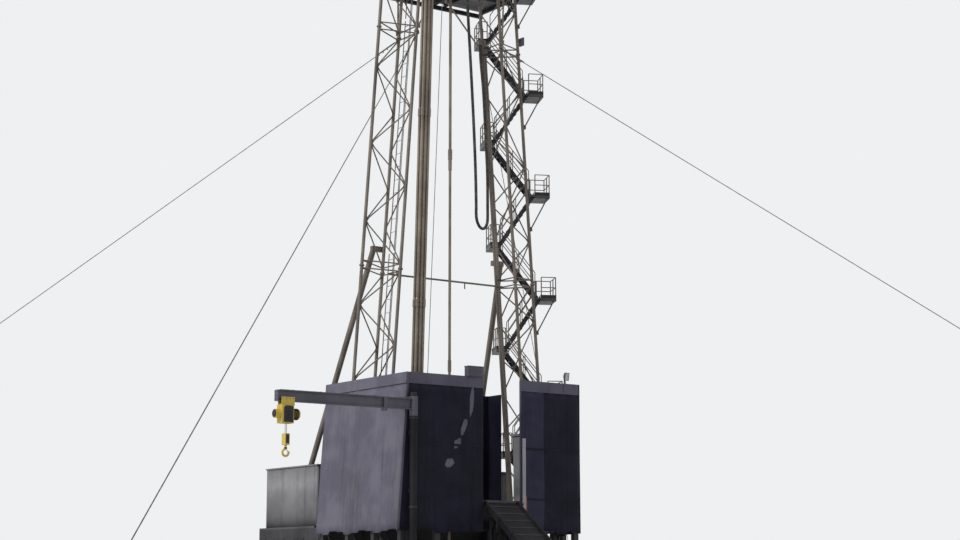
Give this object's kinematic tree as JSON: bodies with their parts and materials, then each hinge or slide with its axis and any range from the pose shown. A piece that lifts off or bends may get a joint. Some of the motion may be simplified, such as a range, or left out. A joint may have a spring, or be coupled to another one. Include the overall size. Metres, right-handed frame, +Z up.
{
  "type": "oil drilling rig, 1:2 scale model",
  "caption": "Land drilling rig: two-legged lattice mast with zigzag stair, racking balcony, hoisting gear, walled drill floor on a steel base, jib hoist and guy wires.",
  "frame": {"origin": "on the ground under the well centre, midway between the guy anchors", "axes": "+Z up, +X to the right of someone looking in through the V-door, the V-door faces -Y"},
  "size_m": [30.5736, 29.011, 26.3942],
  "materials": {
    "mast_steel": "weathered paint with dust and rust",
    "dark_steel": "dark weathered paint",
    "deck_plate": "worn walked-on steel",
    "left_wall_sheet": "streaked wall sheet",
    "front_wall_sheet": "dark wall sheet with a pale cap",
    "shed_sheet": "pale corrugated sheet",
    "bright_steel": "greasy bare steel",
    "wire_rope": "greased wire rope",
    "hoist_yellow": "yellow paint, oily and chipped",
    "hose_rubber": "dusty black rubber",
    "cabinet_paint": "pale enamel"
  },
  "bodies": {
    "root": {"substructure": "dark_steel", "rear_base": "dark_steel", "base_ties": "dark_steel", "drill_floor": "deck_plate", "rotary_table": "dark_steel", "mast_shoes": "dark_steel", "left_leg_lower": "mast_steel", "left_leg_upper": "mast_steel", "right_leg_lower": "mast_steel", "right_leg_upper": "mast_steel", "rear_struts": "mast_steel", "mast_ties": "mast_steel", "leg_ladder": "mast_steel", "crown_frame": "dark_steel", "crown_block": "mast_steel", "crown_sheaves": "bright_steel", "crown_rails": "mast_steel", "crown_gantry": "mast_steel", "drilling_lines": "wire_rope", "fast_and_dead_line": "wire_rope", "standpipe": "mast_steel", "rotary_hose": "hose_rubber", "pipe_stands": "bright_steel", "drawworks": "dark_steel", "control_cabinet": "cabinet_paint", "balcony_beams": "dark_steel", "balcony_joists": "dark_steel", "balcony_deck": "deck_plate", "balcony_rails": "mast_steel", "pipe_fingers": "deck_plate", "stair_treads": "deck_plate", "stair_stringers": "dark_steel", "stair_landings": "deck_plate", "stair_rails": "mast_steel", "wall_left": "left_wall_sheet", "wall_front_left": "front_wall_sheet", "wall_front_right": "front_wall_sheet", "wall_right": "front_wall_sheet", "wall_rear": "left_wall_sheet", "wall_box": "cabinet_paint", "shed_walls": "shed_sheet", "shed_roof": "shed_sheet", "v_door_ramp": "deck_plate", "jib_post": "dark_steel", "guy_wires": "wire_rope", "guy_anchors": "dark_steel", "floodlights": "cabinet_paint"},
    "block_carriage": {"travelling_block": "hoist_yellow", "hook": "bright_steel", "swivel": "bright_steel", "kelly": "bright_steel", "drill_pipe": "bright_steel"},
    "jib_boom": {"jib_boom": "dark_steel"},
    "hoist_trolley": {"hoist_trolley": "hoist_yellow", "hoist_rope": "wire_rope"},
    "hoist_hook": {"hoist_hook": "hoist_yellow"}
  },
  "joints": [
    {"name": "block_travel", "type": "slide", "parent": "root", "child": "block_carriage", "axis": [0, 0, 1], "range_m": [0, 2.5], "deforming": ["drilling_lines"]},
    {"name": "jib_slew", "type": "hinge", "parent": "root", "child": "jib_boom", "pos_m": [-2.625, -2.5, 4.3], "axis": [0, 0, 1], "range_deg": [0, 100]},
    {"name": "hoist_travel", "type": "slide", "parent": "jib_boom", "child": "hoist_trolley", "axis": [1, 0, 0], "range_m": [0, 2.1]},
    {"name": "hook_lift", "type": "slide", "parent": "hoist_trolley", "child": "hoist_hook", "axis": [0, 0, -1], "range_m": [0, 3], "deforming": ["hoist_rope"]}
  ]
}
